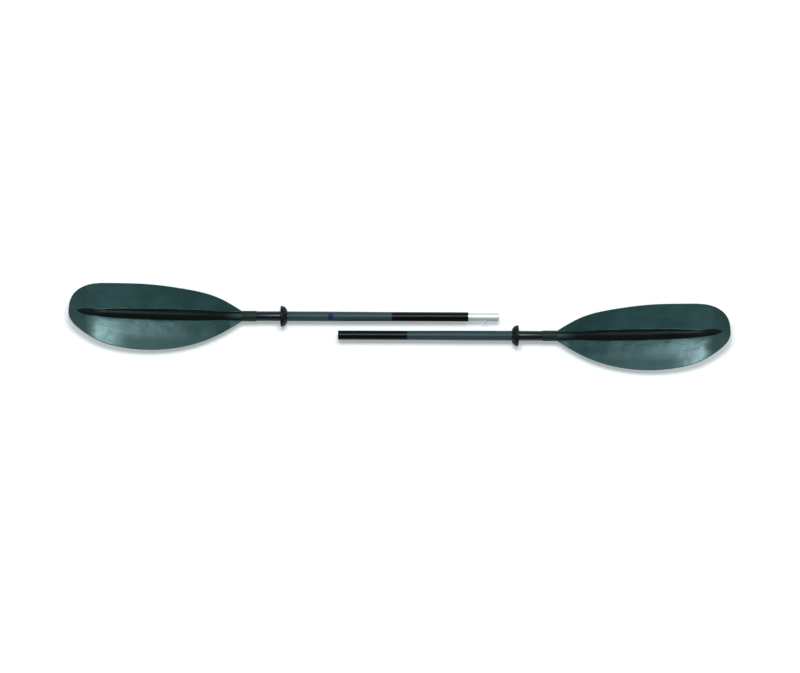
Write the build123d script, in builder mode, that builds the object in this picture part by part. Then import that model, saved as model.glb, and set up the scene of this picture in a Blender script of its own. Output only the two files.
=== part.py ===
from build123d import *
from math import asin, cos, degrees, radians, sin, sqrt
import os

# A two-piece kayak paddle, taken apart and laid on the ground with both power faces up.
# +X runs along the shafts, +Y points to the fuller long edge of both blades and +Z is up.
# The left half ends in the ferrule with the snap button, the right half in the open tube.
# Along a half, every station is a distance from that half's own blade tip.

# ---- driving dimensions, mm ----
male_half_length = 1164  # blade tip to the shoulder that the other tube butts against
female_half_length = 1141  # blade tip to the open end of the tube
laid_lap = 382  # how far the halves, laid side by side, are shorter than end to end
lane_spacing = 54.4  # between the two shaft axes

shaft_od = 28.1  # tube, from the blade to the middle of the grip
joint_od = 26.4  # tube, where the two halves join
shaft_wall = 1.2
sleeve_wall = 0.4  # heat-shrunk sleeves and the grip
bare_shoulder = 2.5  # tube left bare beyond the last sleeve, beside the ferrule
bare_mouth = 0.4  # the same at the open end of the other half
seam = 0.3  # between two sleeves, or a sleeve and the blade

blade_length = 544  # tip to the mouth of the shaft socket
upper_reach = 95.5  # shaft axis to the fuller long edge
lower_reach = 99.5  # shaft axis to the cut-back long edge
blade_thickness = 3.6
rib_wall = 3.5  # the rib is hollow, and its hollow opens into the shaft socket
neck_wall = 1.4
socket_depth = 56
socket_clearance = 0.05  # radial, around the tube
spoon_rise = 26  # the long curve of the power face lifts its tip by this
tip_curl_length = 110  # last stretch, where the power face curls up more tightly
tip_curl_radius = 520
cup_radius = 340  # curve of the power face across the blade
face_drop = 10.5  # deepest point of the power face below the shaft axis

grip_length = 304
taper_after_grip_start = 115
taper_before_grip_end = 9

ring_od = 61
ring_length = 19
ring_from_blade = 71  # socket mouth to the ring's rim
ring_to_grip = 1
ring_clearance = 0.05  # radial, on the sleeve that it slides along
ring_skin = 2.6
ring_cup_depth = 10
ring_hub_wall = 2.75
ring_land = 3

ferrule_wall = 1.5
ferrule_clearance = 0.05  # radial, in both tubes
ferrule_exposed = 86
ferrule_hidden = 90

button_at = 47  # from the shoulder, and from the open end of the other tube
button_dia = 8
button_proud = 3.4  # top of the dome above the other half's sleeve
spring_room = 1.45  # between the ferrule's bore and the button's seat on its spring
button_dome = 3.2
button_lift = 12  # degrees above the horizontal, on the -Y side
feather_step = -60  # degrees from the button hole to the second hole
hole_clearance = 0.3  # radial, around the button

spring_thickness = 0.6
spring_width = 8
spring_tail = 6  # beyond the button
spring_length = 44

rivet_dia = 3.2
rivet_clearance = 0.1
rivet_head_dia = 6.4
rivet_head_height = 1.2
rivet_tail_dia = 4.6
rivet_tail_height = 1.8
blade_rivets_at = (22, 40)  # from the socket mouth, into the blade
ferrule_rivets_at = (28, 58)  # from the shoulder, into the half

plug_clearance = 0.05
end_plug_length = 11
float_plug_length = 30
float_plug_gap = 8  # from the straight joint bore to the foam

# ---- derived values ----
ring_radius = ring_od / 2
axis_height = ring_radius  # each shaft rests on its drip ring and on the back of its blade
laid_length = male_half_length + female_half_length - laid_lap
sleeve_od = shaft_od + 2 * sleeve_wall
joint_sleeve_od = joint_od + 2 * sleeve_wall
shaft_bore = shaft_od / 2 - shaft_wall
joint_bore = joint_od / 2 - shaft_wall
ferrule_radius = joint_bore - ferrule_clearance
ferrule_bore = ferrule_radius - ferrule_wall
neck_od = shaft_od + 2 * (socket_clearance + neck_wall)
ring_hub_od = sleeve_od + 2 * (ring_clearance + ring_hub_wall)
button_foot = ferrule_bore - spring_room
button_reach = joint_sleeve_od / 2 + button_proud
ring_rim_at = blade_length + ring_from_blade
grip_start = ring_rim_at + ring_length + ring_to_grip
grip_end = grip_start + grip_length
taper_start = grip_start + taper_after_grip_start
taper_end = grip_end - taper_before_grip_end
tube_start = blade_length - socket_depth + 1
hole_radius = button_dia / 2 + hole_clearance
lane_shift = (lower_reach - upper_reach) / 2

left = Plane(
    origin=(-laid_length / 2, lane_spacing / 2 + lane_shift, axis_height),
    x_dir=(1, 0, 0),
    z_dir=(0, 0, 1),
)
right = Plane(
    origin=(laid_length / 2, -lane_spacing / 2 + lane_shift, axis_height),
    x_dir=(-1, 0, 0),
    z_dir=(0, 0, 1),
)
halves = {
    "left": (left, male_half_length, bare_shoulder),
    "right": (right, female_half_length, bare_mouth),
}


def keep(piece, name):
    piece.part.label = name
    export_step(piece.part, f"parts/{name}.step")


def shaft_axis(half):
    return Axis(half.origin, half.x_dir)


def turned_profile(plane, *points):
    """A closed outline of (station, radius) points."""
    with BuildSketch(plane) as outline:
        with BuildLine():
            Polyline(*points, close=True)
        make_face()
    return outline.sketch


def radial_plane(half, station, angle):
    """A plane at a station whose own Z leaves the shaft at an angle above the -Y side."""
    origin = half.origin + half.x_dir * station
    outward = Vector(0, -cos(radians(angle)), sin(radians(angle)))
    return Plane(origin=origin, x_dir=(1, 0, 0), z_dir=outward)


def cap_arc(radius, height, base):
    """The arc of a round cap, from its rim down at the base to its crown on the axis."""
    sphere = (radius**2 + height**2) / (2 * height)
    middle = base + height - sphere + sqrt(sphere**2 - (radius / 2) ** 2)
    return ThreePointArc((radius, base), (radius / 2, middle), (0, base + height))


def rivet_profile(plane, outer, inner):
    """Half a blind rivet: dome head outside the outer radius, tail under the inner one."""
    shank = rivet_dia / 2
    head = rivet_head_dia / 2
    tail = rivet_tail_dia / 2
    tail_top = sqrt(inner**2 - tail**2) - plug_clearance
    with BuildSketch(plane) as outline:
        with BuildLine():
            Polyline(
                (0, outer + rivet_head_height),
                (0, tail_top - rivet_tail_height),
                (tail, tail_top - rivet_tail_height),
                (tail, tail_top),
                (shank, tail_top),
                (shank, outer),
                (head, outer),
            )
            cap_arc(head, rivet_head_height, outer)
        make_face()
    return outline.sketch


def rivet_plane(half, station):
    """A plane along the shaft whose own Y points straight down."""
    origin = half.origin + half.x_dir * station
    return Plane(origin=origin, x_dir=half.x_dir, z_dir=half.x_dir.cross(Vector(0, 0, -1)))


os.makedirs("parts", exist_ok=True)

# ---- blade, drawn once with its tip at X = 0 and the shaft axis on X ----
# its outline and rib are drawn at these sizes and stretched to the ones above
drawn_root = 510
drawn_upper_reach = 95.5
drawn_lower_reach = 99.5
root = blade_length - 34
lengthen = root / drawn_root
widen_upper = upper_reach / drawn_upper_reach
widen_lower = lower_reach / drawn_lower_reach
curl_from = tip_curl_length * lengthen
spoon_low_at = 260 * lengthen  # station where the power face lies deepest
spoon_radius = spoon_low_at**2 / (2 * spoon_rise)

pivot = Vector(spoon_low_at, 0, spoon_radius - face_drop)
curl_angle = asin((spoon_low_at - curl_from) / spoon_radius)
root_angle = asin((blade_length - spoon_low_at) / spoon_radius)
tip_angle = asin(sin(curl_angle) + (curl_from + 10) / tip_curl_radius)
toward_curl = Vector(-sin(curl_angle), 0, -cos(curl_angle))
curl_pivot = pivot + toward_curl * (spoon_radius - tip_curl_radius)
half_band = max(upper_reach, lower_reach) + 15
band_rise = cup_radius - sqrt(cup_radius**2 - half_band**2)

# the rib: station, offset towards the fuller edge, height, half width, half depth
rib_back = axis_height - 0.1  # its lowest line, just clear of the ground
neck_radius = neck_od / 2
socket_floor = blade_length - socket_depth
rib_sections = [
    (socket_floor, 0, 0, neck_radius, neck_radius),
    (432 * lengthen, 1.0, -3.4, 13.4, 13.8),
    (340 * lengthen, 2.8, -12.8, 16.2, 14.8),
    (250 * lengthen, 4.6, -15.4, 16.6, rib_back - 15.4),
    (150 * lengthen, 7.4, -12.2, 15.6, 13.6),
    (80 * lengthen, 9.2, -4.6, 14.4, 10.4),
    (26 * lengthen, 13.2, 13.2, 5.0, 1.4),
]


def band_profile(plane, radius):
    """The blade's cross-section, its power face at the given distance under the plane's origin."""
    face_y = -radius
    back_y = -radius - blade_thickness
    with BuildSketch(plane) as profile:
        with BuildLine():
            ThreePointArc((-half_band, face_y + band_rise), (0, face_y), (half_band, face_y + band_rise))
            Line((half_band, face_y + band_rise), (half_band, back_y + band_rise))
            ThreePointArc((half_band, back_y + band_rise), (0, back_y), (-half_band, back_y + band_rise))
            Line((-half_band, back_y + band_rise), (-half_band, face_y + band_rise))
        make_face()
    return profile.sketch


def swing_plane(origin, angle):
    """A plane across the blade, swung towards the tip by an angle, whose own Y points to its origin."""
    return Plane(origin=origin, x_dir=(0, 1, 0), z_dir=(cos(angle), 0, -sin(angle)))

with BuildPart() as blade:
    revolve(
        band_profile(swing_plane(pivot, curl_angle), spoon_radius),
        axis=Axis(pivot, (0, -1, 0)),
        revolution_arc=degrees(curl_angle + root_angle),
    )
    revolve(
        band_profile(swing_plane(curl_pivot, tip_angle), tip_curl_radius),
        axis=Axis(curl_pivot, (0, -1, 0)),
        revolution_arc=degrees(tip_angle - curl_angle),
    )
    with BuildSketch(Plane.XY.offset(-axis_height)) as outline:
        with BuildLine():
            upper = Spline(
                (0, 20 * widen_upper),
                (12 * lengthen, 60 * widen_upper),
                (46 * lengthen, 86.5 * widen_upper),
                (120 * lengthen, upper_reach),
                (220 * lengthen, 93 * widen_upper),
                (335 * lengthen, 79 * widen_upper),
                (430 * lengthen, 55 * widen_upper),
                (root, 11),
                tangents=[(0, 1), (1, -0.9)],
                tangent_scalars=[1.0, 1.0],
            )
            lower = Spline(
                (root, -11),
                (430 * lengthen, -57 * widen_lower),
                (340 * lengthen, -88 * widen_lower),
                (245 * lengthen, -lower_reach),
                (165 * lengthen, -94.5 * widen_lower),
                (95 * lengthen, -77 * widen_lower),
                (36 * lengthen, -43 * widen_lower),
                (0, 4),
                tangents=[(-1, -0.9), (0, 1)],
                tangent_scalars=[1.0, 1.0],
            )
            Line((0, 4), (0, 20 * widen_upper))
            Line((root, 11), (root, -11))
        make_face()
    extrude(amount=2 * axis_height, mode=Mode.INTERSECT)
    for station, offset, height, half_width, half_depth in rib_sections:
        with BuildSketch(Plane.YZ.offset(station)):
            with Locations((offset, height)):
                Ellipse(half_width, half_depth)
    loft()
    for station, offset, height, half_width, half_depth in rib_sections[:-1]:
        with BuildSketch(Plane.YZ.offset(station)):
            with Locations((offset, height)):
                Ellipse(half_width - rib_wall, half_depth - rib_wall)
    loft(mode=Mode.SUBTRACT)
    with BuildSketch(Plane.YZ.offset(socket_floor)):
        Circle(neck_radius)
    extrude(amount=socket_depth)
    with BuildSketch(Plane.YZ.offset(socket_floor)):
        Circle(shaft_od / 2 + socket_clearance)
    extrude(amount=socket_depth, mode=Mode.SUBTRACT)
    for depth in blade_rivets_at:
        with BuildSketch(Plane.XY) as rivet_hole:
            with Locations((blade_length - depth, 0)):
                Circle(rivet_dia / 2 + rivet_clearance)
        extrude(amount=-neck_od, mode=Mode.SUBTRACT)

with BuildPart() as left_blade:
    with Locations(left.origin):
        add(blade.part)
keep(left_blade, "left_blade")

with BuildPart() as right_blade:
    with Locations(right.origin):
        add(mirror(blade.part, about=Plane.YZ, mode=Mode.PRIVATE))
keep(right_blade, "right_blade")

# ---- what both halves have ----
for side, (half, half_length, bare_end) in halves.items():
    along = shaft_axis(half)
    button_holes = (button_lift, button_lift + feather_step) if side == "right" else ()
    ferrule_rivets_here = ferrule_rivets_at if side == "left" else ()

    with BuildPart() as shaft:
        revolve(
            turned_profile(
                half,
                (tube_start, shaft_bore),
                (tube_start, shaft_od / 2),
                (taper_start, shaft_od / 2),
                (taper_end, joint_od / 2),
                (half_length, joint_od / 2),
                (half_length, joint_bore),
                (taper_end, joint_bore),
                (taper_start, shaft_bore),
            ),
            axis=along,
        )
        for angle in button_holes:
            with BuildSketch(radial_plane(half, half_length - button_at, angle)):
                Circle(hole_radius)
            extrude(amount=shaft_od, mode=Mode.SUBTRACT)
        rivet_stations = [blade_length - depth for depth in blade_rivets_at]
        rivet_stations += [half_length - depth for depth in ferrule_rivets_here]
        for station in rivet_stations:
            with BuildSketch(Plane(half.origin + half.x_dir * station)):
                Circle(rivet_dia / 2 + rivet_clearance)
            extrude(amount=-shaft_od, mode=Mode.SUBTRACT)
    keep(shaft, f"{side}_shaft")

    with BuildPart() as blade_sleeve:
        revolve(
            turned_profile(
                half,
                (blade_length + seam, shaft_od / 2),
                (blade_length + seam, sleeve_od / 2),
                (grip_start, sleeve_od / 2),
                (grip_start, shaft_od / 2),
            ),
            axis=along,
        )
    keep(blade_sleeve, f"{side}_blade_sleeve")

    with BuildPart() as grip:
        revolve(
            turned_profile(
                half,
                (grip_start + seam, shaft_od / 2),
                (grip_start + seam, sleeve_od / 2),
                (taper_start, sleeve_od / 2),
                (taper_end, joint_sleeve_od / 2),
                (grip_end, joint_sleeve_od / 2),
                (grip_end, joint_od / 2),
                (taper_end, joint_od / 2),
                (taper_start, shaft_od / 2),
            ),
            axis=along,
        )
    keep(grip, f"{side}_grip")

    with BuildPart() as joint_sleeve:
        revolve(
            turned_profile(
                half,
                (grip_end + seam, joint_od / 2),
                (grip_end + seam, joint_sleeve_od / 2),
                (half_length - bare_end, joint_sleeve_od / 2),
                (half_length - bare_end, joint_od / 2),
            ),
            axis=along,
        )
        for angle in button_holes:
            with BuildSketch(radial_plane(half, half_length - button_at, angle)):
                Circle(hole_radius)
            extrude(amount=shaft_od, mode=Mode.SUBTRACT)
        for depth in ferrule_rivets_here:
            with BuildSketch(Plane(half.origin + half.x_dir * (half_length - depth))):
                Circle(rivet_dia / 2 + rivet_clearance)
            extrude(amount=-shaft_od, mode=Mode.SUBTRACT)
    keep(joint_sleeve, f"{side}_joint_sleeve")

    # a bell of rubber: the cup faces the blade, the dome faces the hands
    with BuildPart() as drip_ring:
        hub_bore = sleeve_od / 2 + ring_clearance
        hub_radius = ring_hub_od / 2
        rim = ring_rim_at
        with BuildSketch(half):
            with BuildLine():
                Polyline(
                    (rim + ring_length, hub_radius - 1.5),
                    (rim + ring_length, hub_bore),
                    (rim, hub_bore),
                    (rim, hub_radius),
                    (rim + ring_cup_depth, hub_radius),
                    (rim + ring_cup_depth - 1, ring_radius - ring_skin - 4.5),
                    (rim + ring_land, ring_radius - ring_skin),
                    (rim, ring_radius - ring_skin),
                    (rim, ring_radius),
                    (rim + ring_land, ring_radius),
                )
                ThreePointArc(
                    (rim + ring_land, ring_radius),
                    (rim + 0.67 * ring_length, ring_radius - 0.4 * (ring_radius - hub_radius)),
                    (rim + ring_length, hub_radius - 1.5),
                )
            make_face()
        revolve(axis=along)
    keep(drip_ring, f"{side}_drip_ring")

    with BuildPart() as blade_rivets:
        for depth in blade_rivets_at:
            plane = rivet_plane(half, blade_length - depth)
            revolve(
                rivet_profile(plane, neck_od / 2, shaft_bore),
                axis=Axis(plane.origin, (0, 0, -1)),
            )
    keep(blade_rivets, f"{side}_blade_rivets")

    with BuildPart() as end_plug:
        with BuildSketch(Plane(half.origin + half.x_dir * tube_start, x_dir=(0, 1, 0), z_dir=half.x_dir)):
            Circle(shaft_bore - plug_clearance)
        extrude(amount=end_plug_length)
    keep(end_plug, f"{side}_end_plug")

    with BuildPart() as float_plug:
        foam_start = taper_end - float_plug_gap - float_plug_length
        with BuildSketch(Plane(half.origin + half.x_dir * foam_start, x_dir=(0, 1, 0), z_dir=half.x_dir)):
            Circle(joint_bore)
        extrude(amount=float_plug_length)
    keep(float_plug, f"{side}_float_plug")

# ---- the joint, carried by the left half ----
shoulder = male_half_length
button_plane = radial_plane(left, shoulder + button_at, button_lift)

with BuildPart() as ferrule:
    revolve(
        turned_profile(
            left,
            (shoulder - ferrule_hidden, ferrule_bore),
            (shoulder - ferrule_hidden, ferrule_radius),
            (shoulder + ferrule_exposed - 1.5, ferrule_radius),
            (shoulder + ferrule_exposed, ferrule_radius - 0.8),
            (shoulder + ferrule_exposed, ferrule_bore),
        ),
        axis=shaft_axis(left),
    )
    with BuildSketch(button_plane):
        Circle(hole_radius)
    extrude(amount=shaft_od, mode=Mode.SUBTRACT)
    for depth in ferrule_rivets_at:
        with BuildSketch(Plane(left.origin + left.x_dir * (shoulder - depth))):
            Circle(rivet_dia / 2 + rivet_clearance)
        extrude(amount=-shaft_od, mode=Mode.SUBTRACT)
keep(ferrule, "ferrule")

with BuildPart() as ferrule_rivets:
    for depth in ferrule_rivets_at:
        plane = rivet_plane(left, shoulder - depth)
        revolve(
            rivet_profile(plane, joint_sleeve_od / 2, ferrule_bore),
            axis=Axis(plane.origin, (0, 0, -1)),
        )
keep(ferrule_rivets, "ferrule_rivets")

# drawn in a plane along the shaft whose own Y is the button's way out
outward = button_plane.z_dir
spring_plane = Plane(
    origin=button_plane.origin, x_dir=(1, 0, 0), z_dir=Vector(1, 0, 0).cross(outward)
)

with BuildPart() as snap_button:
    with BuildSketch(spring_plane):
        with BuildLine():
            dome_base = button_reach - button_dome
            Polyline(
                (0, button_reach),
                (0, button_foot),
                (button_dia / 2, button_foot),
                (button_dia / 2, dome_base),
            )
            cap_arc(button_dia / 2, button_dome, dome_base)
        make_face()
    revolve(axis=Axis(button_plane.origin, outward))
keep(snap_button, "snap_button")

with BuildPart() as button_spring:
    tail = spring_tail
    bend = tail - spring_length + button_foot
    with BuildSketch(spring_plane):
        with BuildLine() as strip:
            l1 = Line((tail, button_foot), (bend, button_foot))
            l2 = ThreePointArc((bend, button_foot), (bend - button_foot, 0), (bend, -button_foot))
            l3 = Line((bend, -button_foot), (tail, -button_foot))
            l4 = Line((tail, -button_foot), (tail, -button_foot + spring_thickness))
            l5 = Line((tail, -button_foot + spring_thickness), (bend, -button_foot + spring_thickness))
            l6 = ThreePointArc(
                (bend, -button_foot + spring_thickness),
                (bend - button_foot + spring_thickness, 0),
                (bend, button_foot - spring_thickness),
            )
            l7 = Line((bend, button_foot - spring_thickness), (tail, button_foot - spring_thickness))
            l8 = Line((tail, button_foot - spring_thickness), (tail, button_foot))
        make_face()
    extrude(amount=spring_width / 2, both=True)
keep(button_spring, "button_spring")
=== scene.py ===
# A take-apart kayak paddle, its two halves laid side by side with the power faces up
import math
import bmesh
import bpy
import numpy as np
from mathutils import Matrix, Vector


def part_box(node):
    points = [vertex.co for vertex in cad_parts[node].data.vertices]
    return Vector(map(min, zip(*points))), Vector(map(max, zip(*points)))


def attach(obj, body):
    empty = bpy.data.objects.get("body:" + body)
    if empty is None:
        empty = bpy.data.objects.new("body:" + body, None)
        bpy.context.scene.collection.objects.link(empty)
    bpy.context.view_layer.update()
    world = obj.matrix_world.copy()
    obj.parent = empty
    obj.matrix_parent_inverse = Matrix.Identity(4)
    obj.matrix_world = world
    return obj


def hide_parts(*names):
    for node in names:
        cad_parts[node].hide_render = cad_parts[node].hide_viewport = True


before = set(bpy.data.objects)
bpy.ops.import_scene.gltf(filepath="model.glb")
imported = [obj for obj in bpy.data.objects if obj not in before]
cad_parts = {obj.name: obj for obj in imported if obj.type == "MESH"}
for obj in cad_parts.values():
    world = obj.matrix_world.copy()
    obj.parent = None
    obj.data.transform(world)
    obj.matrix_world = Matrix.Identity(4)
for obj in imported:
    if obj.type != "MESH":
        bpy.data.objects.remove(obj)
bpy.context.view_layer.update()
mm = 0.001
smoothUnder = 35  # degrees: corners sharper than this stay crisp


# ways to work: curves, meshes, node trees

def naturalSpline(knots, at):
    # a smooth line through rows of numbers; the first column runs along it
    rows = np.array(knots, float)
    x, y = rows[:, 0], rows[:, 1:]
    n = len(x)
    step = np.diff(x)
    system = np.eye(n)
    right = np.zeros_like(y)
    for i in range(1, n - 1):
        system[i, i - 1:i + 2] = step[i - 1], 2 * (step[i - 1] + step[i]), step[i]
        right[i] = 6 * ((y[i + 1] - y[i]) / step[i] - (y[i] - y[i - 1]) / step[i - 1])
    bend = np.linalg.solve(system, right)
    at = np.clip(np.atleast_1d(at), x[0], x[-1])
    i = np.clip(np.searchsorted(x, at) - 1, 0, n - 2)
    h, before, after = step[i][:, None], (x[i + 1] - at)[:, None], (at - x[i])[:, None]
    return ((bend[i] * before ** 3 + bend[i + 1] * after ** 3) / (6 * h)
            + (y[i] / h - bend[i] * h / 6) * before + (y[i + 1] / h - bend[i + 1] * h / 6) * after)


def alongPoints(points, count):
    # evenly spaced points on a smooth curve through a few chosen ones
    points = np.array(points, float)
    reach = np.concatenate([[0], np.cumsum(np.linalg.norm(np.diff(points, axis=0), axis=1))])
    fine = naturalSpline(np.column_stack([reach, points]), np.linspace(0, reach[-1], 4000))
    run = np.concatenate([[0], np.cumsum(np.linalg.norm(np.diff(fine, axis=0), axis=1))])
    even = np.linspace(0, run[-1], count)
    return np.column_stack([np.interp(even, run, fine[:, k]) for k in range(fine.shape[1])])


def meshPiece(name, points, faces, material, smoothAngle=smoothUnder):
    mesh = bpy.data.meshes.new(name)
    mesh.from_pydata([tuple(p) for p in points], [], faces)
    piece = bpy.data.objects.new(name, mesh)
    bpy.context.scene.collection.objects.link(piece)
    mesh.materials.append(material)
    tidyMesh(piece, smoothAngle)
    return piece


def tidyMesh(piece, smoothAngle=smoothUnder):
    # merges what coincides, turns faces outwards and smooths all but real corners
    work = bmesh.new()
    work.from_mesh(piece.data)
    bmesh.ops.remove_doubles(work, verts=work.verts, dist=1e-6)
    bmesh.ops.dissolve_degenerate(work, edges=work.edges, dist=1e-7)
    bmesh.ops.recalc_face_normals(work, faces=work.faces)
    if work.calc_volume(signed=True) < 0:
        bmesh.ops.reverse_faces(work, faces=work.faces)
    work.to_mesh(piece.data)
    work.free()
    piece.data.shade_smooth()
    piece.data.set_sharp_from_angle(angle=math.radians(smoothAngle))


def finished(piece, body, slot, *nodes):
    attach(piece, body)
    if nodes:
        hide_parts(*nodes)
    return piece


class TreeKit:
    # adds nodes to a tree and hands back their outputs as values
    def __init__(self, tree):
        self.tree = tree

    def node(self, kind, settings=None, inputs=None, output=0):
        made = self.tree.nodes.new(kind)
        for key, value in (settings or {}).items():
            if key == "stops":
                ramp = made.color_ramp
                while len(ramp.elements) < len(value):
                    ramp.elements.new(1.0)
                for element, (place, colour) in zip(ramp.elements, value):
                    element.position = place
                    element.color = colour
            else:
                setattr(made, key, value)
        pairs = inputs.items() if isinstance(inputs, dict) else enumerate(inputs or [])
        for key, value in pairs:
            socket = made.inputs[key]
            if isinstance(value, Value):
                self.tree.links.new(value.out, socket)
            elif value is not None:
                socket.default_value = value
        return Value(self, made.outputs[output] if made.outputs else None, made)


class Value:
    # an output socket that can be used in sums; share() holds it between 0 and 1
    def __init__(self, kit, out, made):
        self.kit, self.out, self.made = kit, out, made

    def other(self, key):
        return Value(self.kit, self.made.outputs[key], self.made)

    def math(self, operation, *terms):
        return self.kit.node("ShaderNodeMath", {"operation": operation}, list(terms))

    def __add__(self, term): return self.math("ADD", self, term)
    def __radd__(self, term): return self.math("ADD", term, self)
    def __sub__(self, term): return self.math("SUBTRACT", self, term)
    def __rsub__(self, term): return self.math("SUBTRACT", term, self)
    def __mul__(self, term): return self.math("MULTIPLY", self, term)
    def __rmul__(self, term): return self.math("MULTIPLY", term, self)
    def __truediv__(self, term): return self.math("DIVIDE", self, term)
    def __pow__(self, term): return self.math("POWER", self, term)
    def least(self, term): return self.math("MINIMUM", self, term)
    def most(self, term): return self.math("MAXIMUM", self, term)
    def unsigned(self): return self.math("ABSOLUTE", self)
    def share(self): return self.most(0.0).least(1.0)


# materials

def newMaterial(name, **constants):
    material = bpy.data.materials.new(name)
    material.use_nodes = True
    tree = material.node_tree
    surface = tree.nodes["Principled BSDF"]
    for socket, value in constants.items():
        surface.inputs[socket.replace("_", " ")].default_value = value
    return material, TreeKit(tree), surface


def feed(kit, surface, socket, value):
    kit.tree.links.new(value.out, surface.inputs[socket])


def mixColours(kit, share, low, high):
    mix = kit.node("ShaderNodeMix", {"data_type": "RGBA"}, {0: share, 6: low, 7: high})
    return mix.other(2)


def colourOf(kit, surface, share, low, high):
    feed(kit, surface, "Base Color", mixColours(kit, share, low, high))


def objectPoint(kit, scale=(1, 1, 1)):
    place = kit.node("ShaderNodeTexCoord").other("Object")
    return kit.node("ShaderNodeMapping", {}, {"Vector": place, "Scale": scale})


def axisOf(kit, point, axis):
    return kit.node("ShaderNodeSeparateXYZ", {}, {0: point}).other(axis)


def noiseOn(kit, point, scale, detail=3.0, roughness=0.5):
    inputs = {"Vector": point, "Scale": scale, "Detail": detail, "Roughness": roughness}
    return kit.node("ShaderNodeTexNoise", {}, inputs)


def bumpOn(kit, surface, height, strength, distance):
    bump = kit.node("ShaderNodeBump", {}, {"Height": height, "Strength": strength, "Distance": distance})
    feed(kit, surface, "Normal", bump)


# each finish's darkest and lightest colour
tones = {
    "blade": ((0.010, 0.032, 0.031, 1), (0.038, 0.092, 0.094, 1)),
    "spine": ((0.002, 0.005, 0.005, 1), (0.004, 0.009, 0.009, 1)),
    "neck": ((0.005, 0.013, 0.011, 1), (0.011, 0.022, 0.019, 1)),
    "glossSleeve": ((0.002, 0.006, 0.009, 1), (0.005, 0.011, 0.015, 1)),
    "jointSleeve": ((0.0006, 0.0012, 0.0013, 1), (0.0016, 0.0028, 0.003, 1)),
    "grip": ((0.013, 0.037, 0.045, 1), (0.030, 0.066, 0.077, 1)),
    "ring": ((0.0014, 0.004, 0.005, 1), (0.004, 0.008, 0.009, 1)),
    "ferrule": ((0.60, 0.70, 0.70, 1), (0.78, 0.88, 0.88, 1)),
    "tube": ((0.60, 0.66, 0.67, 1), (0.78, 0.84, 0.85, 1)),
    "rivet": ((0.42, 0.43, 0.44, 1), (0.62, 0.63, 0.64, 1)),
    "button": ((0.60, 0.62, 0.62, 1), (0.78, 0.80, 0.80, 1)),
    "spring": ((0.40, 0.41, 0.43, 1), (0.58, 0.59, 0.61, 1)),
    "foam": ((0.10, 0.10, 0.095, 1), (0.20, 0.20, 0.19, 1)),
    "plug": ((0.012, 0.012, 0.012, 1), (0.025, 0.025, 0.025, 1)),
}
# the lighter teal of the painted highlight on the crown of the spine's root
crownHighlightTeal = (0.022, 0.050, 0.050, 1)
markBlue = (0.006, 0.016, 0.085, 1)

# wear and painted light on a blade, in metres: its rubbed tip, which is also painted darker as painted shade,
# its scuffed edge towards -Y, and a painted highlight on the crown of its spine's root
tipWearAndShade = {"to": 0.066, "spineTo": 0.100, "ragged": 0.026, "fade": 0.034, "matt": 0.42}
scuffedRim = {"from": 0.052, "ragged": 0.010, "fade": 0.026, "start": 0.125, "run": 0.050, "matt": 0.30}
rootCrownHighlight = {"from": 0.448, "fade": 0.045, "half": 0.0082, "soft": 0.003}


def stationOn(kit, point):
    # distance from the blade tip; both tips are equally far from the origin
    return tipAt - axisOf(kit, point, 0).unsigned()


def satinBlade(half):
    # moulded, fibre-filled plastic: cloudy sheen, fine grain, and a tip that use has rubbed matt, where
    # painted shade also darkens the colour
    material, kit, surface = newMaterial(half["side"] + "SatinBlade", Specular_IOR_Level=0.42,
                                         Specular_Tint=(0.72, 1.0, 1.0, 1))
    point = objectPoint(kit)
    along = objectPoint(kit, (0.6, 1.2, 1.0))
    cloud = noiseOn(kit, along, 30, 2, 0.5)
    wide = noiseOn(kit, point, 13, 2, 0.5)
    grain = noiseOn(kit, point, 1400, 2, 0.6)
    fromTip = stationOn(kit, point)
    nearTip = ((tipWearAndShade["to"] + cloud * tipWearAndShade["ragged"] - fromTip) / tipWearAndShade["fade"]).share()
    # painted shade: the tone is darkened over the rubbed tip; it also varies at random and gets darker
    # towards the root
    tone = (cloud * 0.55 + wide * 0.6 + 0.20 - fromTip * 0.9 - nearTip * 0.6).share()
    colourOf(kit, surface, tone, *tones["blade"])
    towardRim = half["y"] - axisOf(kit, point, 1) - scuffedRim["from"] + cloud * scuffedRim["ragged"]
    pastTip = ((fromTip - scuffedRim["start"]) / scuffedRim["run"]).share()
    scuffed = (towardRim / scuffedRim["fade"]).share() * pastTip
    worn = nearTip * tipWearAndShade["matt"] + scuffed * scuffedRim["matt"]
    feed(kit, surface, "Roughness", 0.16 + cloud * 0.15 + grain * 0.06 + worn)
    bumpOn(kit, surface, cloud * 0.5 + grain * 0.03 + wide * 1.2, 0.5, 0.0030)
    return material


def blackSpine(half):
    # near black, with a lighter teal painted highlight along the crown of its root
    material, kit, surface = newMaterial(half["side"] + "BlackSpine", Specular_IOR_Level=0.13)
    point = objectPoint(kit, (0.5, 1.5, 1.0))
    ripple = noiseOn(kit, point, 26, 2, 0.5)
    grain = noiseOn(kit, point, 900, 2, 0.5)
    black = mixColours(kit, ripple, *tones["spine"])
    place = objectPoint(kit)
    station = stationOn(kit, place)
    across = axisOf(kit, place, 1) - half["y"]
    nearNeck = ((station - rootCrownHighlight["from"]) / rootCrownHighlight["fade"]).share()
    onCrown = ((rootCrownHighlight["half"] - across.unsigned()) / rootCrownHighlight["soft"]).share()
    crownHighlight = nearNeck * onCrown
    # painted highlight: the crown of the root is coloured a lighter teal
    colourOf(kit, surface, crownHighlight, black, crownHighlightTeal)
    nearTip = ((tipWearAndShade["spineTo"] - station) / tipWearAndShade["fade"]).share()
    worn = crownHighlight * 0.1 + nearTip * tipWearAndShade["matt"]
    feed(kit, surface, "Roughness", 0.24 + ripple * 0.14 + grain * 0.05 + worn)
    bumpOn(kit, surface, ripple + grain * 0.04, 0.5, 0.0020)
    return material


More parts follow.
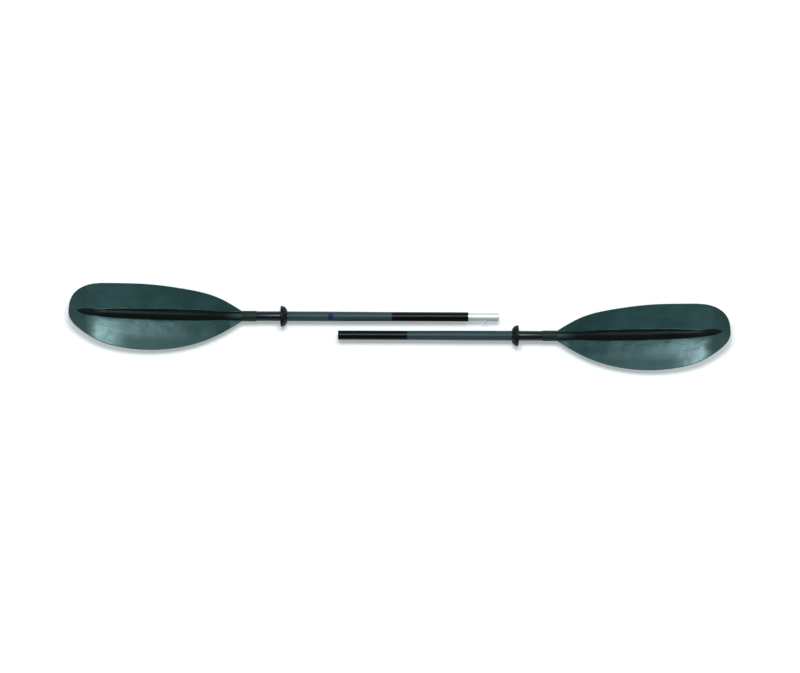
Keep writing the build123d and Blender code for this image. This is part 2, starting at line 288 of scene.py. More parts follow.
def matteNeck():
    material, kit, surface = newMaterial("matteNeck", Specular_IOR_Level=0.22)
    point = objectPoint(kit)
    grain = noiseOn(kit, point, 1100, 3, 0.6)
    cloud = noiseOn(kit, point, 60, 2, 0.5)
    colourOf(kit, surface, cloud, *tones["neck"])
    feed(kit, surface, "Roughness", 0.46 + grain * 0.12)
    bumpOn(kit, surface, grain, 0.4, 0.0003)
    return material


def shrunkSleeve(name, gloss, specular):
    # heat-shrunk film: smooth, with faint lengthwise drawing lines and scuffs
    material, kit, surface = newMaterial(name, Specular_IOR_Level=specular)
    lines = noiseOn(kit, objectPoint(kit, (0.04, 1.0, 1.0)), 520, 3, 0.6)
    scuff = noiseOn(kit, objectPoint(kit, (0.6, 1.0, 1.0)), 90, 5, 0.65)
    wear = kit.node("ShaderNodeValToRGB", {"stops": [(0.55, (0, 0, 0, 1)), (0.75, (1, 1, 1, 1))]}, {0: scuff})
    colourOf(kit, surface, lines * 0.7 + wear * 0.3, *tones[name])
    feed(kit, surface, "Roughness", gloss + lines * 0.05 + wear * 0.10)
    bumpOn(kit, surface, lines + scuff * 0.5, 0.12, 0.0002)
    return material


def satinGrip(markPlace, markSize):
    # satin grip sleeve with a close fabric-like grain and one plain blue oval printed on it
    material, kit, surface = newMaterial("satinGrip", Specular_IOR_Level=0.24)
    point = objectPoint(kit)
    grain = noiseOn(kit, point, 1300, 2, 0.55)
    patch = noiseOn(kit, objectPoint(kit, (0.5, 1.0, 1.0)), 40, 3, 0.55)
    base = mixColours(kit, patch * 0.7 + grain * 0.3, *tones["grip"])
    along = (axisOf(kit, point, 0) - markPlace[0]) / markSize[0]
    across = (axisOf(kit, point, 1) - markPlace[1]) / markSize[1]
    height = axisOf(kit, point, 2)
    fromMiddle = (along * along + across * across) ** 0.5
    mark = ((1.06 - fromMiddle) * 12).share() * height.math("GREATER_THAN", height, markPlace[2])
    colourOf(kit, surface, mark, base, markBlue)
    feed(kit, surface, "Roughness", 0.38 + grain * 0.14 + mark * 0.25)
    bumpOn(kit, surface, grain + patch * 0.4, 0.3, 0.00035)
    return material


def ringRubber():
    material, kit, surface = newMaterial("ringRubber", Specular_IOR_Level=0.16)
    point = objectPoint(kit)
    grain = noiseOn(kit, point, 900, 3, 0.6)
    dust = noiseOn(kit, point, 70, 4, 0.6)
    colourOf(kit, surface, dust, *tones["ring"])
    feed(kit, surface, "Roughness", 0.42 + dust * 0.2)
    bumpOn(kit, surface, grain, 0.35, 0.0003)
    return material


def drawnMetal(name, tone, gloss, stretch, metallic=1.0):
    # drawn tube: hairlines along X, with cloudier patches where it has been handled
    material, kit, surface = newMaterial(name, Metallic=metallic)
    hair = noiseOn(kit, objectPoint(kit, (stretch, 1.0, 1.0)), 1500, 3, 0.6)
    cloud = noiseOn(kit, objectPoint(kit), 55, 3, 0.55)
    colourOf(kit, surface, hair * 0.5 + cloud * 0.5, *tones[tone])
    feed(kit, surface, "Roughness", gloss + hair * 0.12 + cloud * 0.06)
    bumpOn(kit, surface, hair, 0.25, 0.00015)
    return material


def softFoam():
    material, kit, surface = newMaterial("softFoam", Specular_IOR_Level=0.2)
    cells = kit.node("ShaderNodeTexVoronoi", {}, {"Vector": objectPoint(kit), "Scale": 900})
    colourOf(kit, surface, cells * 1.5, *tones["foam"])
    feed(kit, surface, "Roughness", 0.8 + cells * 0.15)
    bumpOn(kit, surface, cells, 0.5, 0.0006)
    return material


def mouldedPlug():
    material, kit, surface = newMaterial("mouldedPlug", Specular_IOR_Level=0.4)
    grain = noiseOn(kit, objectPoint(kit), 800, 2, 0.5)
    colourOf(kit, surface, grain, *tones["plug"])
    feed(kit, surface, "Roughness", 0.5 + grain * 0.15)
    bumpOn(kit, surface, grain, 0.3, 0.0003)
    return material


# the halves: where each blade tip is, and the shaft axis of each

def halfFrame(side):
    low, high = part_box(f"{side}_blade")
    shaftLow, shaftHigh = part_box(f"{side}_shaft")
    toHands = 1 if side == "left" else -1
    tip = low.x if side == "left" else high.x
    return {
        "side": side,
        "body": f"{side}_half",
        "toHands": toHands,
        "tip": tip,
        "y": (shaftLow.y + shaftHigh.y) / 2,
        "z": (shaftLow.z + shaftHigh.z) / 2,
    }


halves = {side: halfFrame(side) for side in ("left", "right")}
print("frame loaded:", len(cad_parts), "nodes")

# in metres: station from the blade tip, offset towards +Y, height over the shaft axis
blade = {
    "outline": [(0.508, 0.0115), (0.430, 0.055), (0.335, 0.079), (0.220, 0.093), (0.120, 0.0955),
                (0.046, 0.0865), (0.012, 0.060), (0, 0.020), (0, 0.004), (0.036, -0.043), (0.095, -0.077),
                (0.165, -0.0945), (0.245, -0.0995), (0.340, -0.088), (0.430, -0.057), (0.508, -0.0115)],
    "thickness": 0.0036,
    "edgeRound": 0.0012,
    "rimBead": 0.00015,
    "rimBeadAt": 0.0036,
    "rimBeadWidth": 0.0016,
    "lowestAt": 0.260,
    "drop": 0.0105,
    "spoonRadius": 1.300,
    "curlFrom": 0.170,
    "curlSlope": 0.14,
    "cupSlope": 0.19,
    "cupBottom": 0.025,
    "rootSinkFrom": 0.462,
    "rootSink": 0.0042,
    "fanAt": 0.075,
    "columns": 150,
    "fanColumns": 72,
    # rings in millimetres: out from the spine's line, and back from the edge, with a few between
    "nearRings": [0, 4, 7, 9, 10.5, 11.5, 12.5, 13.3, 14.2, 15.2, 16.4, 18, 20.5, 24],
    "edgeRings": [6.4, 5.4, 4.6, 3.9, 3.2, 2.5, 1.8, 1.3, 0.85, 0.5, 0.22, 0.06, 0],
    "middleRings": 12,
    "narrow": 0.042,
    "filletSoftness": 0.0007,
    "filletCut": 0.00045,
}
bladeRoot = blade["outline"][0][0]  # where the sheet ends, inside the neck
spine = {
    # station, offset, height of the centre, half width, half depth
    "sections": [(0.024, 0.0162, 0.0144, 0.0066, 0.0028), (0.034, 0.0152, 0.0106, 0.0096, 0.0048),
                 (0.052, 0.0134, 0.0044, 0.0132, 0.0081), (0.080, 0.0104, -0.0042, 0.0158, 0.0108),
                 (0.115, 0.0084, -0.0092, 0.0165, 0.0124), (0.150, 0.0076, -0.0122, 0.0169, 0.0136),
                 (0.250, 0.0048, -0.0153, 0.0177, 0.0151), (0.340, 0.0028, -0.0128, 0.0174, 0.0148),
                 (0.395, 0.0018, -0.0084, 0.0162, 0.0143), (0.432, 0.0010, -0.0036, 0.0138, 0.0138),
                 (0.488, 0, 0, 0.0150, 0.0150), (0.544, 0, 0, 0.0150, 0.0150)],
    "start": 0.024,
    "noseSteps": 6,
    "noseLength": 0.0020,
    "stations": 190,
    "around": 72,
    "end": 0.512,
}


def spineAt(stations):
    return naturalSpline(spine["sections"], stations)


def sheetHeight(station, offset):
    # the middle surface of the blade: a shallow spoon that curls up at the tip and sinks into the neck
    spoon, curlFrom = blade["spoonRadius"], blade["curlFrom"]
    lengthwise = spoon - np.sqrt(spoon ** 2 - (station - blade["lowestAt"]) ** 2)
    lengthwise += blade["curlSlope"] / 3 * np.maximum(curlFrom - station, 0) ** 3 / curlFrom ** 2
    crosswise = blade["cupSlope"] * (np.sqrt(offset ** 2 + blade["cupBottom"] ** 2) - blade["cupBottom"])
    root = np.clip((station - blade["rootSinkFrom"]) / (bladeRoot - blade["rootSinkFrom"]), 0, 1)
    sink = blade["rootSink"] * root * root * (3 - 2 * root)
    return -blade["drop"] - blade["thickness"] / 2 + lengthwise + crosswise - sink


def softMost(a, b, softness):
    return np.maximum(a, b) + softness * np.log1p(np.exp(-np.abs(a - b) / softness))


def sheetColumns():
    # pairs of points: on the spine's line, and on the outline
    rim = alongPoints(blade["outline"], 3000)
    turn = int(np.argmin(rim[:, 0]))
    upper, lower = rim[:turn + 1][::-1], rim[turn:]
    stations = np.linspace(bladeRoot, blade["fanAt"], blade["columns"])
    spineOffset = spineAt(stations)[:, 0]
    inner = np.column_stack([stations, spineOffset])
    upperRim = np.column_stack([stations, np.interp(stations, upper[:, 0], upper[:, 1])])
    lowerRim = np.column_stack([stations, np.interp(stations, lower[:, 0], lower[:, 1])])
    tip = rim[rim[:, 0] < blade["fanAt"]]
    run = np.concatenate([[0], np.cumsum(np.linalg.norm(np.diff(tip, axis=0), axis=1))])
    even = np.linspace(0, run[-1], blade["fanColumns"] + 2)[1:-1]
    fanRim = np.column_stack([np.interp(even, run, tip[:, 0]), np.interp(even, run, tip[:, 1])])
    fanInner = np.repeat(inner[-1:], len(fanRim), axis=0)
    centres = np.vstack([inner, fanInner, inner[::-1]])
    rims = np.vstack([upperRim, fanRim, lowerRim[::-1]])
    return centres, rims


def sheetRings(reach):
    # distances from the spine's line out to the edge, close together where the shape turns
    scale = min(1.0, reach / blade["narrow"])
    near = np.array(blade["nearRings"]) * mm * scale
    edge = reach - np.array(blade["edgeRings"]) * mm * scale
    middle = np.linspace(near[-1], edge[0], blade["middleRings"] + 2)[1:-1]
    return np.concatenate([near, middle, edge])


def sheetPoints():
    centres, rims = sheetColumns()
    top, bottom = [], []
    for centre, rim in zip(centres, rims):
        reach = np.linalg.norm(rim - centre)
        rings = sheetRings(reach)
        place = centre + (rim - centre) * (rings / reach)[:, None]
        station, offset = place[:, 0], place[:, 1]
        inset = reach - rings
        roundShare = np.clip(inset / blade["edgeRound"], 0, 1)
        half = blade["thickness"] / 2 * np.sqrt(1 - (1 - roundShare) ** 2)
        bead = blade["rimBead"] * np.exp(-((inset - blade["rimBeadAt"]) / blade["rimBeadWidth"]) ** 2)
        middle = sheetHeight(station, offset)
        spineOffset, height, halfWidth, halfDepth = spineAt(np.maximum(station, spine["start"])).T
        across = np.clip((offset - spineOffset) / halfWidth, -1, 1)
        rise = halfDepth * np.sqrt(1 - across ** 2)
        reached = (station > spine["start"]) & (np.abs(across) < 1)
        over = np.where(reached, height + rise, -1.0)
        under = np.where(reached, height - rise, 1.0)
        soft, cut = blade["filletSoftness"], blade["filletCut"]
        face = middle + half + bead
        back = middle - half - bead
        face = np.maximum(face, softMost(face, over, soft) - cut)
        back = np.minimum(back, -softMost(-back, -under, soft) + cut)
        top.append(np.column_stack([station, offset, face]))
        bottom.append(np.column_stack([station, offset, back]))
    return np.array(top), np.array(bottom)


def toWorld(half, points):
    # the right blade is the mirror image of the left one
    station, offset, height = np.array(points, float).T
    return np.column_stack([half["tip"] + half["toHands"] * station, half["y"] + offset, half["z"] + height])


def bladeSheet(half, material):
    top, bottom = sheetPoints()
    columns, rings = top.shape[:2]
    points = np.vstack([top.reshape(-1, 3), bottom.reshape(-1, 3)])
    lift = columns * rings
    faces = []
    for i in range(columns - 1):
        for k in range(rings - 1):
            a, b = i * rings + k, (i + 1) * rings + k
            faces.append((a, b, b + 1, a + 1))
            faces.append((lift + a, lift + a + 1, lift + b + 1, lift + b))
    for i in (0, columns - 1):
        for k in range(rings - 1):
            a = i * rings + k
            faces.append((a, a + 1, lift + a + 1, lift + a))
    name = half["side"] + "BladeFace"
    return meshPiece(name, toWorld(half, points), faces, material, 50)


def bladeSpine(half, material):
    stations = np.linspace(spine["start"], spine["end"], spine["stations"])
    rows = np.column_stack([stations, spineAt(stations)])
    first = rows[0]
    nose = []
    for step in range(spine["noseSteps"]):
        share = step / spine["noseSteps"]
        shrink = math.sqrt(1 - (1 - share) ** 2)
        station = first[0] - spine["noseLength"] * (1 - share)
        nose.append((station, first[1], first[2], first[3] * shrink, first[4] * shrink))
    rows = np.vstack([nose, rows])
    turn = np.linspace(0, 2 * math.pi, spine["around"], endpoint=False)
    points = [(s, o + w * math.cos(t), h + d * math.sin(t)) for s, o, h, w, d in rows for t in turn]
    around = spine["around"]
    faces = [(i * around + k, i * around + (k + 1) % around, (i + 1) * around + (k + 1) % around,
              (i + 1) * around + k) for i in range(len(rows) - 1) for k in range(around)]
    faces.append(tuple((len(rows) - 1) * around + k for k in range(around)))
    return meshPiece(half["side"] + "BladeSpine", toWorld(half, points), faces, material, 50)


# turned pieces: a closed outline of (station, radius) spun round the shaft axis by a node tree

def newGrower(name, **sockets):
    # an empty geometry tree with named inputs, the first of them an object
    tree = bpy.data.node_groups.new(name, "GeometryNodeTree")
    tree.interface.new_socket("Geometry", in_out="OUTPUT", socket_type="NodeSocketGeometry")
    for title, kind in sockets.items():
        tree.interface.new_socket(title, in_out="INPUT", socket_type="NodeSocket" + kind)
    kit = TreeKit(tree)
    return tree, kit, kit.node("NodeGroupInput")


def objectShape(kit, given):
    settings = {"transform_space": "ORIGINAL"}
    return kit.node("GeometryNodeObjectInfo", settings, {"Object": given}, "Geometry")


def latheTree():
    tree, kit, given = newGrower("turnedPiece", Outline="Object", Segments="Int", Material="Material")
    segments, material = given.other("Segments"), given.other("Material")
    outline = objectShape(kit, given)
    count = kit.node("GeometryNodeAttributeDomainSize", {"component": "MESH"}, {0: outline}, "Point Count")
    rows = count + 1
    grid = kit.node("GeometryNodeMeshGrid", {}, {"Vertices X": segments + 1, "Vertices Y": rows})
    index = kit.node("GeometryNodeInputIndex")
    column = index.math("FLOOR", (index + 0.5) / rows)
    row = index - column * rows
    corner = row.math("MODULO", row, count)
    place = kit.node("GeometryNodeSampleIndex", {"data_type": "FLOAT_VECTOR", "domain": "POINT"},
                     {"Geometry": outline, "Value": kit.node("GeometryNodeInputPosition"), "Index": corner})
    apart = kit.node("ShaderNodeSeparateXYZ", {}, {0: place})
    angle = column * (2 * math.pi) / segments
    radius = apart.other(1)
    spun = kit.node("ShaderNodeCombineXYZ", {}, [apart, radius * angle.math("COSINE", angle),
                                                 radius * angle.math("SINE", angle)])
    moved = kit.node("GeometryNodeSetPosition", {}, {"Geometry": grid, "Position": spun})
    merged = kit.node("GeometryNodeMergeByDistance", {}, {"Geometry": moved, "Distance": 1e-6})
    real = kit.node("GeometryNodeRealizeInstances", {}, {0: merged})
    painted = kit.node("GeometryNodeSetMaterial", {}, {"Geometry": real, "Material": material})
    kit.node("NodeGroupOutput", {}, {0: painted})
    return tree


def setInputs(modifier, **values):
    for item in modifier.node_group.interface.items_tree:
        if item.item_type == "SOCKET" and item.in_out == "INPUT" and item.name in values:
            modifier[item.identifier] = values[item.name]


def grown(name, tree, **values):
    # runs a node tree and keeps its result as a plain mesh
    carrier = bpy.data.objects.new(name, bpy.data.meshes.new(name + "Seed"))
    bpy.context.scene.collection.objects.link(carrier)
    modifier = carrier.modifiers.new("grow", "NODES")
    modifier.node_group = tree
    setInputs(modifier, **values)
    bpy.context.view_layer.update()
    settled = carrier.evaluated_get(bpy.context.evaluated_depsgraph_get())
    mesh = bpy.data.meshes.new_from_object(settled)
    carrier.modifiers.remove(modifier)
    carrier.data = mesh
    mesh.name = name
    return carrier


def roundedOutline(corners, radius, steps=4):
    # softens each corner of a closed outline; a corner may carry its own radius as a third number
    points = [np.array(c[:2], float) for c in corners]
    radii = [c[2] if len(c) > 2 else radius for c in corners]
    out = []
    for i, here in enumerate(points):
        before, after = points[i - 1] - here, points[(i + 1) % len(points)] - here
        longBefore, longAfter = np.linalg.norm(before), np.linalg.norm(after)
        before, after = before / longBefore, after / longAfter
        reach = min(radii[i], 0.45 * longBefore, 0.45 * longAfter)
        if reach < 1e-7:
            out.append(tuple(here))
            continue
        for k in range(steps + 1):
            t = k / steps
            out.append(tuple(here + before * reach * (1 - t) ** 2 + after * reach * t ** 2))
    return out


lathe = latheTree()
upright = {"tip": 0, "y": 0, "z": 0, "toHands": 1}  # for small pieces turned at the origin, then placed


def turned(name, half, corners, material, radius=0.0002, segments=96, steps=4):
    outline = roundedOutline(corners, radius, steps)
    mesh = bpy.data.meshes.new(name + "Outline")
    mesh.from_pydata([(s, r, 0) for s, r in outline], [], [])
    pattern = bpy.data.objects.new(name + "Outline", mesh)
    bpy.context.scene.collection.objects.link(pattern)
    piece = grown(name, lathe, Outline=pattern, Segments=segments, Material=material)
    bpy.data.objects.remove(pattern)
    axis = Matrix.Translation((half["tip"], half["y"], half["z"]))
    piece.data.transform(axis @ Matrix.Diagonal((half["toHands"], 1, 1, 1)))
    tidyMesh(piece)
    return piece


def span(half, node):
    # a node's start and end stations, and its outer radius
    low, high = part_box(node)
    ends = sorted(half["toHands"] * (x - half["tip"]) for x in (low.x, high.x))
    return ends[0], ends[1], (high.z - low.z) / 2


def wallCorners(start, end, inner, outer, steps=1):
    # a plain tube wall, its long sides divided so that cuts stay neat
    outside = [(start + (end - start) * k / steps, outer) for k in range(steps + 1)]
    inside = [(s, inner) for s, r in reversed(outside)]
    return outside + inside


def cutHole(piece, centre, direction, radius, depth):
    # drills a round hole that starts at centre and runs along direction
    cutter = bmesh.new()
    bmesh.ops.create_cone(cutter, cap_ends=True, segments=48, radius1=radius, radius2=radius, depth=depth)
    mesh = bpy.data.meshes.new("drill")
    cutter.to_mesh(mesh)
    cutter.free()
    drill = bpy.data.objects.new("drill", mesh)
    bpy.context.scene.collection.objects.link(drill)
    turn = Vector((0, 0, 1)).rotation_difference(direction).to_matrix().to_4x4()
    mesh.transform(Matrix.Translation(centre + direction * depth / 2) @ turn)
    cut = piece.modifiers.new("cut", "BOOLEAN")
    cut.operation = "DIFFERENCE"
    cut.solver = "EXACT"
    cut.object = drill
    bpy.context.view_layer.update()
    settled = piece.evaluated_get(bpy.context.evaluated_depsgraph_get())
    result = bpy.data.meshes.new_from_object(settled)
    piece.modifiers.remove(cut)
    piece.data = result
    bpy.data.objects.remove(drill)
    piece.data.shade_smooth()
    piece.data.set_sharp_from_angle(angle=math.radians(smoothUnder))


sleeve = {"wall": 0.0004, "edge": 0.00012, "tuck": 0.00026}
neck = {"start": 0.503, "radius": 0.01555, "mouth": 0.0009, "inner": 0.0141}
grip = {"taperFrom": 0.115, "taperTo": 0.295, "startBlend": 0.02, "endBlend": 0.01}
ring = {"cup": 0.010, "skin": 0.0026, "hub": 0.01725, "land": 0.003, "clearance": 0.00005,
        "floorSlope": 0.0045, "floorRun": 0.001, "domeSteps": 16, "domeAt": 0.83, "domeDrop": 0.0015,
        "noseDrop": 0.0012}
tube = {"wall": 0.0012, "blend": 0.01, "mouth": 0.0003, "steps": 90}
joint = {"lift": math.radians(12), "feather": math.radians(60), "hole": 0.0043, "drill": 0.03}
ferrule = {"bore": 0.01045, "lead": 0.0015, "leadDrop": 0.0008, "edge": 0.0003, "steps": 80}
button = {"foot": 0.009, "top": 0.017, "radius": 0.004, "dome": 0.0032, "domeSteps": 12}
markOnGrip = {"station": 0.7606, "offset": -0.0016, "long": 0.0084, "wide": 0.0098}

leftHalf = halves["left"]
tipAt = abs(leftHalf["tip"])
markPlace = (leftHalf["tip"] + markOnGrip["station"], leftHalf["y"] + markOnGrip["offset"], leftHalf["z"])
paint = {
    "leftFace": satinBlade(leftHalf),
    "rightFace": satinBlade(halves["right"]),
    "leftSpine": blackSpine(leftHalf),
    "rightSpine": blackSpine(halves["right"]),
    "neck": matteNeck(),
    "glossSleeve": shrunkSleeve("glossSleeve", gloss=0.27, specular=0.34),
    "jointSleeve": shrunkSleeve("jointSleeve", gloss=0.33, specular=0.14),
    "grip": satinGrip(markPlace, (markOnGrip["long"], markOnGrip["wide"])),
    "ring": ringRubber(),
    "ferrule": drawnMetal("drawnFerrule", "ferrule", gloss=0.42, stretch=0.02, metallic=0.55),
    "tube": drawnMetal("drawnTube", "tube", gloss=0.30, stretch=0.02, metallic=0.85),
    "rivet": drawnMetal("rivetMetal", "rivet", gloss=0.28, stretch=1.0),
    "button": drawnMetal("buttonSteel", "button", gloss=0.40, stretch=1.0),
    "spring": drawnMetal("springSteel", "spring", gloss=0.25, stretch=0.1),
    "foam": softFoam(),
    "plug": mouldedPlug(),
}
print("materials made:", len(paint))


def buildBlade(half):
    side = half["side"]
    node = f"{side}_blade"
    finished(bladeSheet(half, paint[f"{side}Face"]), half["body"], "blade_face", node)
    finished(bladeSpine(half, paint[f"{side}Spine"]), half["body"], "blade_face", node)
    end = span(half, node)[1]
    corners = [(neck["start"], neck["inner"]), (neck["start"], neck["radius"], 0.0012),
               (end, neck["radius"], neck["mouth"]), (end, neck["inner"])]
    collar = turned(side + "Neck", half, corners, paint["neck"], 0.0002, 96, 6)
    finished(collar, half["body"], "blade_face", node)


def buildShaft(half):
    side = half["side"]
    start, end, radius = span(half, f"{side}_shaft")
    jointRadius = span(half, f"{side}_joint_sleeve")[2] - sleeve["wall"]
    gripStart = span(half, f"{side}_grip")[0]
    taperFrom, taperTo = gripStart + grip["taperFrom"], gripStart + grip["taperTo"]
    blend, steps = tube["blend"], tube["steps"]
    outside = [(start, radius), (taperFrom, radius, blend), (taperTo, jointRadius, blend)]
    outside += [(taperTo + (end - taperTo) * k / steps, jointRadius, 0) for k in range(1, steps)]
    outside.append((end, jointRadius, tube["mouth"]))
    inside = [(s, r - tube["wall"], c[0] if c else 0.0002) for s, r, *c in reversed(outside)]
    piece = turned(f"{side}Shaft", half, outside + inside, paint["tube"], 0.0002)
    return piece, end, jointRadius


def buildSleeves(half):
    side = half["side"]
    start, end, radius = span(half, f"{side}_blade_sleeve")
    corners = wallCorners(start - sleeve["tuck"], end, radius - sleeve["wall"], radius)
    piece = turned(f"{side}BladeSleeve", half, corners, paint["glossSleeve"], sleeve["edge"])
    finished(piece, half["body"], "gloss_sleeve", f"{side}_blade_sleeve")
    start, end, radius = span(half, f"{side}_grip")
    jointRadius = span(half, f"{side}_joint_sleeve")[2]
    line = [(start - sleeve["tuck"], radius), (start + grip["taperFrom"], radius, grip["startBlend"]),
            (start + grip["taperTo"], jointRadius, grip["endBlend"]), (end, jointRadius)]
    inside = [(c[0], c[1] - sleeve["wall"], *c[2:]) for c in reversed(line)]
    piece = turned(f"{side}Grip", half, line + inside, paint["grip"], sleeve["edge"], 96, 8)
    finished(piece, half["body"], "grip", f"{side}_grip")
    start, end, radius = span(half, f"{side}_joint_sleeve")
    start -= sleeve["tuck"]
    corners = wallCorners(start, end, radius - sleeve["wall"], radius, tube["steps"])
    corners = [(s, r, sleeve["edge"] if s in (start, end) else 0) for s, r in corners]
    return turned(f"{side}JointSleeve", half, corners, paint["jointSleeve"], sleeve["edge"])


def buildRing(half):
    side = half["side"]
    start, end, radius = span(half, f"{side}_drip_ring")
    bore = span(half, f"{side}_blade_sleeve")[2] + ring["clearance"]
    hub, cup, land = ring["hub"], start + ring["cup"], start + ring["land"]
    inner = radius - ring["skin"]
    low, high = (land, radius), (end, hub - ring["noseDrop"])
    mid = (start + ring["domeAt"] * (end - start), radius - ring["domeDrop"])
    dome = []
    for k in range(ring["domeSteps"] + 1):
        t = k / ring["domeSteps"]
        s, r = [(1 - t) ** 2 * low[i] + 2 * t * (1 - t) * mid[i] + t * t * high[i] for i in (0, 1)]
        dome.append((s, r, 0))
    corners = [(start, bore), (start, hub, 0.0006), (cup, hub, 0.0012),
               (cup - ring["floorRun"], inner - ring["floorSlope"], 0.001), (land, inner, 0.001),
               (start, inner, 0.0005), (start, radius, 0.0009), *dome, (end, bore, 0.0004)]
    piece = turned(f"{side}DripRing", half, corners, paint["ring"], 0.0004, 128, 5)
    finished(piece, f"{side}_ring", "ring_rubber", f"{side}_drip_ring")


def radialDirection(angle):
    return Vector((0, -math.cos(angle), math.sin(angle)))


for half in halves.values():
    buildBlade(half)
    buildRing(half)
print("blades and drip rings made")

# the joint: the left half carries the ferrule and its button, the right half has the holes
buttonLow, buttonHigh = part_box("snap_button")
buttonX = (buttonLow.x + buttonHigh.x) / 2
for side, half in halves.items():
    shaft, shaftEnd, shaftRadius = buildShaft(half)
    jointSleeve = buildSleeves(half)
    if side == "right":
        fromShoulder = buttonX - (leftHalf["tip"] + span(leftHalf, "left_shaft")[1])
        holeX = half["tip"] - (shaftEnd - fromShoulder)
        centre = Vector((holeX, half["y"], half["z"]))
        for angle in (joint["lift"], joint["lift"] - joint["feather"]):
            for piece in (shaft, jointSleeve):
                cutHole(piece, centre, radialDirection(angle), joint["hole"], joint["drill"])
    finished(shaft, half["body"], "bare_aluminium", f"{side}_shaft")
    finished(jointSleeve, half["body"], "joint_sleeve", f"{side}_joint_sleeve")


def buildFerrule(half):
    start, end, radius = span(half, "ferrule")
    bore, edge, steps = ferrule["bore"], ferrule["edge"], ferrule["steps"]
    lead = end - ferrule["lead"]
    line = [(start, radius, edge)]
    line += [(start + (lead - start) * k / steps, radius, 0) for k in range(1, steps)]
    line += [(lead, radius, 2 * edge), (end, radius - ferrule["leadDrop"], edge), (end, bore, edge),
             (start, bore, edge)]
    piece = turned("jointFerrule", half, line, paint["ferrule"], edge)
    centre = Vector((buttonX, half["y"], half["z"]))
    cutHole(piece, centre, radialDirection(joint["lift"]), joint["hole"], joint["drill"])
    finished(piece, half["body"], "bare_aluminium", "ferrule")


def buildButton(half):
    # turned along X, then stood on its spring
    foot, radius, dome, steps = button["foot"], button["radius"], button["dome"], button["domeSteps"]
    side = button["top"] - dome
    corners = [(foot, 0), (foot, radius, 0.0003), (side, radius, 0.0002)]
    for k in range(1, steps + 1):
        turn = k / steps * math.pi / 2
        corners.append((side + dome * math.sin(turn), radius * math.cos(turn), 0))
    piece = turned("snapButton", upright, corners, paint["button"], 0.0003, 64)
    turn = Vector((1, 0, 0)).rotation_difference(radialDirection(joint["lift"])).to_matrix().to_4x4()
    piece.data.transform(Matrix.Translation((buttonX, half["y"], half["z"])) @ turn)
    finished(piece, "button", "button_steel", "snap_button")


buildFerrule(leftHalf)
buildButton(leftHalf)
print("joint made")


# rivets: one head instanced along a row under each neck and under the ferrule

def rivetTree():
    tree, kit, given = newGrower("rivetRow", Head="Object", Count="Int", First="Vector", Step="Vector",
                                 Material="Material")
    line = {"Count": given.other("Count"), "Start Location": given.other("First"),
            "Offset": given.other("Step")}
    row = kit.node("GeometryNodeMeshLine", {"mode": "OFFSET"}, line)
    head = objectShape(kit, given)
    placed = kit.node("GeometryNodeInstanceOnPoints", {}, {"Points": row, "Instance": head})
    real = kit.node("GeometryNodeRealizeInstances", {}, {0: placed})
    painted = kit.node("GeometryNodeSetMaterial", {}, {"Geometry": real, "Material": given.other("Material")})
    kit.node("NodeGroupOutput", {}, {0: painted})
    return tree


rivetRow = rivetTree()
rivet = {"head": 0.0032, "height": 0.0012, "shank": 0.0016, "tail": 0.0023, "tailHeight": 0.0018,
         "domeSteps": 8}


def buildRivets(name, body, node):
    # the row is read from the node: its heads hang lowest, and its tails end inside the tube
    low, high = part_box(node)
    axisZ = leftHalf["z"]
    head, height, shank, tail = rivet["head"], rivet["height"], rivet["shank"], rivet["tail"]
    outer = axisZ - low.z - height
    top = axisZ - high.z + rivet["tailHeight"]
    end = top - rivet["tailHeight"]
    corners = [(end, 0), (end, tail, 0.0004), (top, tail, 0.0004), (top, shank, 0), (outer, shank, 0),
               (outer, head, 0.0003)]
    for k in range(1, rivet["domeSteps"] + 1):
        turn = k / rivet["domeSteps"] * math.pi / 2
        corners.append((outer + height * math.sin(turn), head * math.cos(turn), 0))
    single = turned(name + "Head", upright, corners, paint["rivet"], 0.0002, 40, 3)
    single.data.transform(Matrix.Rotation(math.pi / 2, 4, "Y"))
    first = Vector((low.x + head, (low.y + high.y) / 2, axisZ))
    step = Vector((high.x - low.x - 2 * head, 0, 0))
    piece = grown(name, rivetRow, Head=single, Count=2, First=first, Step=step, Material=paint["rivet"])
    bpy.data.objects.remove(single)
    tidyMesh(piece, 40)
    finished(piece, body, "rivet_metal", node)


for side in halves:
    buildRivets(f"{side}BladeRivets", f"{side}_half", f"{side}_blade_rivets")
buildRivets("ferruleRivets", "left_half", "ferrule_rivets")
print("rivets made")

# pieces hidden inside keep their own shape and get a finish
for node, finish in (("left_end_plug", "plug"), ("right_end_plug", "plug"), ("left_float_plug", "foam"),
                     ("right_float_plug", "foam"), ("button_spring", "spring")):
    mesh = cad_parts[node].data
    mesh.materials.clear()
    mesh.materials.append(paint[finish])


# the stage: white floor, two soft boxes on each side beyond the paddle's far edge, camera straight above

studio = {"floorSize": 60.0, "floorDrop": 0.0002, "floorWhite": (0.92, 0.92, 0.92, 1),
          "floorTint": (0.92, 0.98, 1, 1), "floorGlow": 0.30, "glowCentre": 0.6, "glowFrom": 0.9,
          "glowRise": 0.5, "glowMost": 0.8, "horizon": 0.45, "zenith": 0.10, "tint": (0.88, 0.98, 1.0),
          "boxY": 1.12, "boxHeight": 2.9, "boxDepth": 0.90}
softBoxes = [(0.30, 0.34, 33), (0.80, 0.62, 9.0)]  # how far to each side, width, power
view = {"lens": 85.0, "sensor": 36.0, "across": 2.3337, "aimX": 0.0014, "aimY": -0.0287, "aimZ": 0.03,
        "roll": math.radians(0.2)}


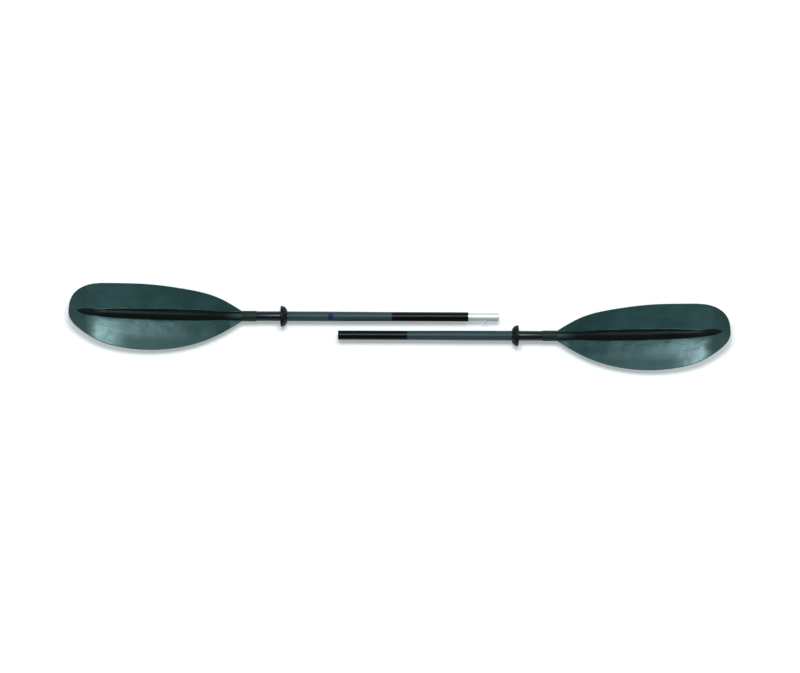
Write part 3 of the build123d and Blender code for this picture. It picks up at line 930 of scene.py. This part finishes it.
def stageFloor():
    bpy.ops.mesh.primitive_plane_add(size=studio["floorSize"], location=(0, 0, -studio["floorDrop"]))
    floor = bpy.context.object
    floor.name = "floor"
    material, kit, surface = newMaterial("floorWhite", Roughness=0.9, Specular_IOR_Level=0.1)
    surface.inputs["Base Color"].default_value = studio["floorWhite"]
    # lit from below like a light table, and more so where the lamps don't reach
    place = kit.node("ShaderNodeTexCoord").other("Object")
    across, along = axisOf(kit, place, 0), axisOf(kit, place, 1) - studio["glowCentre"]
    distance = (across * across + along * along) ** 0.5
    away = ((distance - studio["glowFrom"]) * studio["glowRise"]).most(0.0).least(studio["glowMost"])
    brightest = studio["floorGlow"] + studio["glowMost"]
    glow = (away + studio["floorGlow"]) / brightest
    feed(kit, surface, "Emission Color", mixColours(kit, glow, (0, 0, 0, 1), studio["floorTint"]))
    surface.inputs["Emission Strength"].default_value = brightest
    floor.data.materials.append(material)


def softBox(name, aside, width, power):
    # a lamp that shines on the paddle's long axis, straight across from where it hangs
    light = bpy.data.lights.new(name, "AREA")
    light.shape = "RECTANGLE"
    light.size = width
    light.size_y = studio["boxDepth"]
    light.energy = power
    light.color = studio["tint"]
    lamp = bpy.data.objects.new(name, light)
    bpy.context.scene.collection.objects.link(lamp)
    place = Vector((aside, studio["boxY"], studio["boxHeight"]))
    lamp.location = place
    lamp.rotation_euler = (Vector((aside, 0, 0)) - place).to_track_quat("-Z", "Y").to_euler()


def worldLight():
    # dim overhead and brighter towards the horizon, as in a room of white screens
    world = bpy.data.worlds.new("studio")
    bpy.context.scene.world = world
    world.use_nodes = True
    kit = TreeKit(world.node_tree)
    direction = kit.node("ShaderNodeTexCoord").other("Generated")
    height = axisOf(kit, direction, 2)
    horizon, zenith = [(studio[key],) * 3 + (1,) for key in ("horizon", "zenith")]
    stops = [(0.0, (1, 1, 1, 1)), (0.04, horizon), (0.85, zenith)]
    shade = kit.node("ShaderNodeValToRGB", {"stops": stops}, {0: height})
    background = world.node_tree.nodes["Background"]
    world.node_tree.links.new(shade.out, background.inputs[0])
    background.inputs[1].default_value = 1.0


def topCamera():
    lens = bpy.data.cameras.new("camera")
    lens.lens = view["lens"]
    lens.sensor_width = view["sensor"]
    lens.clip_end = 50
    camera = bpy.data.objects.new("camera", lens)
    bpy.context.scene.collection.objects.link(camera)
    distance = view["across"] * view["lens"] / view["sensor"]
    camera.location = (view["aimX"], view["aimY"], view["aimZ"] + distance)
    camera.rotation_euler = (0, 0, view["roll"])
    bpy.context.scene.camera = camera


stageFloor()
for number, (aside, width, power) in enumerate(softBoxes):
    for hand in (-1, 1):
        softBox(f"softBox{number + 1}", hand * aside, width, power)
worldLight()
topCamera()
bpy.context.scene.view_settings.view_transform = "Standard"

print("scene ready")
